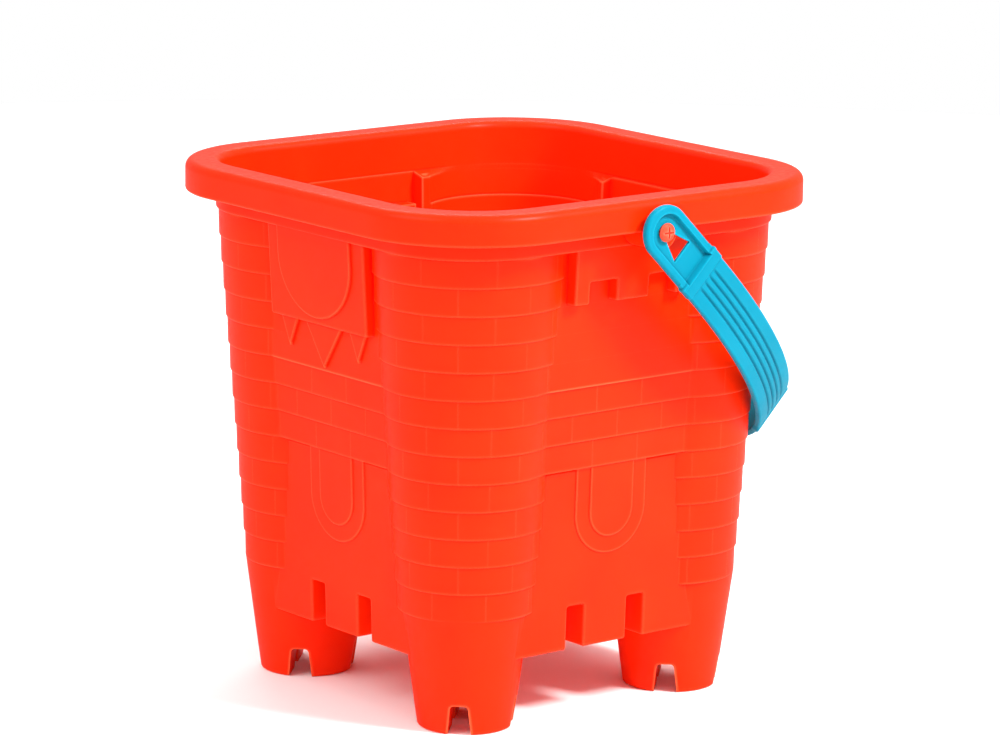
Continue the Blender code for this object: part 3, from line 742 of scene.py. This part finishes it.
def mouldedPolypropylene(name, pigment):
    material = bpy.data.materials.new(name)
    material.use_nodes = True
    tree = material.node_tree
    tree.nodes.clear()
    place = addNode(tree, "ShaderNodeTexCoord").outputs["Object"]
    flow = addNode(tree, "ShaderNodeTexNoise",
                   {"Scale": 1 / polypropylene["flowSize"], "Detail": 3.0, "Roughness": 0.5,
                    "Distortion": 0.6},
                   {"Vector": place})
    grain = addNode(tree, "ShaderNodeTexNoise",
                    {"Scale": 1 / polypropylene["grainSize"], "Detail": 2.0}, {"Vector": place})
    scuffs = addNode(tree, "ShaderNodeTexNoise",
                     {"Scale": 1 / polypropylene["scuffSize"], "Detail": 5.0, "Roughness": 0.7},
                     {"Vector": place})

    # colour: the drifting melt, with a painted highlight along outer edges and painted shade in inner corners
    tint = addNode(tree, "ShaderNodeValToRGB", links={"Fac": flow.outputs["Fac"]})
    setRamp(tint, *(linearColour(hexValue) for hexValue in pigment["melt"]), 0.3, 0.7)
    # outer edges, where rays cast inward soon meet the far face, get a paler colour: a painted highlight
    paintedHighlightProbe = addNode(tree, "ShaderNodeAmbientOcclusion",
                   {"samples": 6, "inside": True, "only_local": True, "Distance": polypropylene["paintedHighlightReach"]})
    paintedHighlightMask = addNode(tree, "ShaderNodeMapRange",
                       {"From Min": 0.98, "From Max": 0.62, "To Min": 0.0, "To Max": 1.0},
                       {"Value": paintedHighlightProbe.outputs["AO"]})
    # inner corners, where rays cast outward soon meet the surface, get a darker colour: painted shade
    paintedShadeProbe = addNode(tree, "ShaderNodeAmbientOcclusion",
                   {"samples": 6, "only_local": True, "Distance": polypropylene["paintedShadeReach"]})
    depth = addNode(tree, "ShaderNodeMapRange",
                    {"From Min": 0.95, "From Max": 0.35, "To Min": 0.0, "To Max": 1.0},
                    {"Value": paintedShadeProbe.outputs["AO"]})
    withPaintedHighlight = addNode(tree, "ShaderNodeMix", {"data_type": "RGBA", 7: linearColour(pigment["paintedEdgeHighlight"])},
                    {0: paintedHighlightMask.outputs["Result"], 6: tint.outputs["Color"]})
    # the pigment's corner colour is the painted shade, mixed in where the occlusion mask is high
    withPaintedShade = addNode(tree, "ShaderNodeMix", {"data_type": "RGBA", 7: linearColour(pigment["corner"])},
                     {0: depth.outputs["Result"], 6: withPaintedHighlight.outputs[2]})

    # surface: rubbed patches in the gloss, softened edges, and shallow waves and grain
    roughness = pigment["roughness"]
    gloss = addNode(tree, "ShaderNodeMapRange",
                    {"From Min": 0.35, "From Max": 0.75, "To Min": roughness,
                     "To Max": roughness + polypropylene["scuffRoughness"]},
                    {"Value": scuffs.outputs["Fac"]})
    edges = addNode(tree, "ShaderNodeBevel", {"samples": 4, "Radius": polypropylene["edgeRadius"]})
    waves = addNode(tree, "ShaderNodeBump", {"Strength": 0.06, "Distance": polypropylene["flowRise"]},
                    {"Height": flow.outputs["Fac"], "Normal": edges.outputs["Normal"]})
    fine = addNode(tree, "ShaderNodeBump", {"Strength": 0.03, "Distance": polypropylene["grainRise"]},
                   {"Height": grain.outputs["Fac"], "Normal": waves.outputs["Normal"]})
    shader = addNode(tree, "ShaderNodeBsdfPrincipled",
                     {"IOR": polypropylene["ior"], "Specular IOR Level": polypropylene["specular"],
                      "Metallic": 0.0, "Subsurface Weight": polypropylene["glow"],
                      "Subsurface Radius": (1.0, 0.25, 0.15), "Subsurface Scale": polypropylene["glowDepth"]},
                     {"Base Color": withPaintedShade.outputs[2], "Roughness": gloss.outputs["Result"],
                      "Normal": fine.outputs["Normal"]})
    addNode(tree, "ShaderNodeOutputMaterial", links={"Surface": shader.outputs["BSDF"]})
    return material


redPlastic = mouldedPolypropylene("red moulded polypropylene", redPigment)
cyanPlastic = mouldedPolypropylene("cyan moulded polypropylene", cyanPigment)
coralPlastic = mouldedPolypropylene("coral moulded polypropylene", coralPigment)

for piece, material, body, node, slot in (
        (shell, redPlastic, "bucket", "bucket_shell", "red_polypropylene"),
        (handle, cyanPlastic, "handle", "handle", "cyan_polypropylene"),
        (rightPeg, coralPlastic, "bucket", "peg_right", "coral_polypropylene"),
        (leftPeg, coralPlastic, "bucket", "peg_left", "coral_polypropylene")):
    piece.data.materials.clear()
    piece.data.materials.append(material)
    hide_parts(node)
    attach(piece, body)
print("materials set")


# Floor, light and camera

studio = dict(floorRadius=1.6, floorColour="FBFBFA", floorMirrored="A8A8A8",
              sky="FFFFFF", skyGlow=0.8, skySeen=1.0, skyMirrored=0.4, aimHeight=100 * mm)
softBoxes = (  # each faces the middle of the bucket at aimHeight; azimuths are counted as the camera's is
    dict(name="keyLight", azimuth=112, elevation=44, distance=1.6, size=(0.32, 0.32), power=35),
    dict(name="fillLight", azimuth=-5, elevation=42, distance=1.8, size=(1.0, 0.8), power=12),
    dict(name="backLight", azimuth=235, elevation=45, distance=1.8, size=(1.0, 0.8), power=10),
    dict(name="topLight", azimuth=40, elevation=88, distance=3.0, size=(3.5, 3.5), power=20),
)
camera = dict(azimuth=51.5, elevation=11.89, roll=0.68, distance=1990.6 * mm, lens=170.73, sensor=36.0,
              across=5.35 * mm, up=124.8 * mm, nearest=50 * mm, farthest=20.0)


def studioFloor():
    bm = bmesh.new()
    bmesh.ops.create_circle(bm, cap_ends=True, segments=96, radius=studio["floorRadius"])
    floor = makePiece("studioFloor", bm)
    material = bpy.data.materials.new("matt paper")
    material.use_nodes = True
    tree = material.node_tree
    tree.nodes.clear()
    # reflections see a greyer sheet, so that the plastic keeps its deep colour
    path = addNode(tree, "ShaderNodeLightPath")
    paper = addNode(tree, "ShaderNodeMix", {"data_type": "RGBA", 6: linearColour(studio["floorColour"]),
                                            7: linearColour(studio["floorMirrored"])},
                    {0: path.outputs["Is Glossy Ray"]})
    sheet = addNode(tree, "ShaderNodeBsdfDiffuse", links={"Color": paper.outputs[2]})
    addNode(tree, "ShaderNodeOutputMaterial", links={"Surface": sheet.outputs["BSDF"]})
    floor.data.materials.append(material)


def towards(azimuth, elevation):
    # the unit vector from the bucket to a place round it; azimuth 0 is the gate's side
    turn, rise = math.radians(azimuth), math.radians(elevation)
    return Vector((math.sin(turn) * math.cos(rise), -math.cos(turn) * math.cos(rise), math.sin(rise)))


def softBox(name, azimuth, elevation, distance, size, power):
    direction = towards(azimuth, elevation)
    light = bpy.data.lights.new(name, "AREA")
    light.shape = "RECTANGLE"
    light.size, light.size_y = size
    light.energy = power
    lamp = bpy.data.objects.new(name, light)
    facing = direction.to_track_quat("Z", "Y").to_matrix().to_4x4()
    place = direction * distance + Vector((0, 0, studio["aimHeight"]))
    lamp.matrix_world = Matrix.Translation(place) @ facing
    bpy.context.scene.collection.objects.link(lamp)


def studioSky():
    world = bpy.data.worlds.new("studioSky")
    world.use_nodes = True
    tree = world.node_tree
    tree.nodes.clear()
    # the backdrop shows white, lights the bucket a little more gently and is dim in its gloss
    path = addNode(tree, "ShaderNodeLightPath")
    gloss = addNode(tree, "ShaderNodeMix", {2: studio["skyGlow"], 3: studio["skyMirrored"]},
                    {0: path.outputs["Is Glossy Ray"]})
    strength = addNode(tree, "ShaderNodeMix", {3: studio["skySeen"]},
                       {0: path.outputs["Is Camera Ray"], 2: gloss.outputs[0]})
    sky = addNode(tree, "ShaderNodeBackground", {"Color": linearColour(studio["sky"])},
                  {"Strength": strength.outputs[0]})
    addNode(tree, "ShaderNodeOutputWorld", links={"Surface": sky.outputs["Background"]})
    bpy.context.scene.world = world


def productCamera():
    turn, roll = math.radians(camera["azimuth"]), math.radians(camera["roll"])
    forward = -towards(camera["azimuth"], camera["elevation"])
    right = Vector((math.cos(turn), math.sin(turn), 0))
    up = right.cross(forward)
    tiltedRight = math.cos(roll) * right + math.sin(roll) * up
    tiltedUp = math.cos(roll) * up - math.sin(roll) * right
    target = tiltedRight * camera["across"] + tiltedUp * camera["up"]
    lens = bpy.data.cameras.new("productCamera")
    lens.sensor_width, lens.lens = camera["sensor"], camera["lens"]
    lens.clip_start, lens.clip_end = camera["nearest"], camera["farthest"]
    body = bpy.data.objects.new("productCamera", lens)
    turned = Matrix((tiltedRight, tiltedUp, -forward)).transposed().to_4x4()
    body.matrix_world = Matrix.Translation(target - forward * camera["distance"]) @ turned
    bpy.context.scene.collection.objects.link(body)
    bpy.context.scene.camera = body


studioFloor()
studioSky()
for light in softBoxes:
    softBox(**light)
productCamera()
bpy.context.scene.view_settings.view_transform = "Standard"
print("studio ready")
